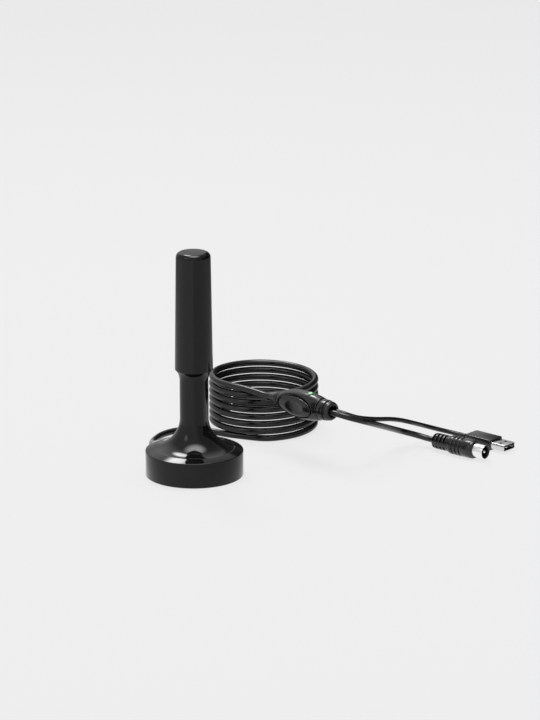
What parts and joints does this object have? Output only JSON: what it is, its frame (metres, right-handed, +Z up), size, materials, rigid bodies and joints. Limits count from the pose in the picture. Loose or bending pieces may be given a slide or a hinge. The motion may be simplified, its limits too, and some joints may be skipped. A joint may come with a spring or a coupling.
{
  "type": "indoor tv antenna",
  "caption": "Table-top indoor TV antenna: round mast on a flared magnetic foot, coiled feed cable, in-line signal booster, aerial plug and USB power plug.",
  "frame": {"origin": "centre of the underside of the round foot, on the surface that the antenna stands on", "axes": "+Z up along the mast; +X to the side on which the coil, booster and plugs lie; -Y towards the viewer"},
  "size_m": [0.2534, 0.1812, 0.1553],
  "materials": {
    "gloss_black": "glossy moulded black plastic",
    "satin_black": "satin moulded black plastic",
    "foot_rubber": "flat rubber",
    "ferrite": "sintered grey",
    "steel": "plain zinc finish",
    "brass": "drawn brass",
    "copper": "drawn copper",
    "white_plastic": "natural moulded plastic",
    "cable_black": "smooth extruded sheath",
    "booster_black": "fine matte moulded plastic",
    "led_green": "lit green lamp",
    "board_green": "circuit board",
    "plug_black": "overmoulded sheath plastic",
    "nickel": "bright nickel plate",
    "grey_plastic": "dark insulator"
  },
  "bodies": {
    "root": {"mast_sleeve": "gloss_black", "stem_base": "gloss_black", "base_drum": "satin_black", "foot_pad": "foot_rubber", "base_magnet": "ferrite", "magnet_backing": "steel", "base_screws": "steel", "lower_element": "brass", "element_spacer": "white_plastic", "upper_element": "copper", "cable_gland": "cable_black", "inner_lead": "cable_black", "feed_coil": "cable_black", "feed_tail": "cable_black", "feed_riser": "cable_black", "booster_top_shell": "booster_black", "booster_bottom_shell": "booster_black", "booster_grip": "booster_black", "booster_led": "led_green", "booster_board": "board_green", "amplifier_can": "steel", "booster_rear_boot": "booster_black", "booster_front_boot": "booster_black", "aerial_lead": "cable_black", "usb_lead": "cable_black", "aerial_plug_body": "plug_black", "aerial_plug_shell": "nickel", "aerial_plug_insulator": "grey_plastic", "aerial_plug_pin": "nickel", "usb_plug_body": "plug_black", "usb_plug_shell": "nickel", "usb_plug_tongue": "grey_plastic", "usb_plug_contacts": "brass"}
  },
  "joints": []
}
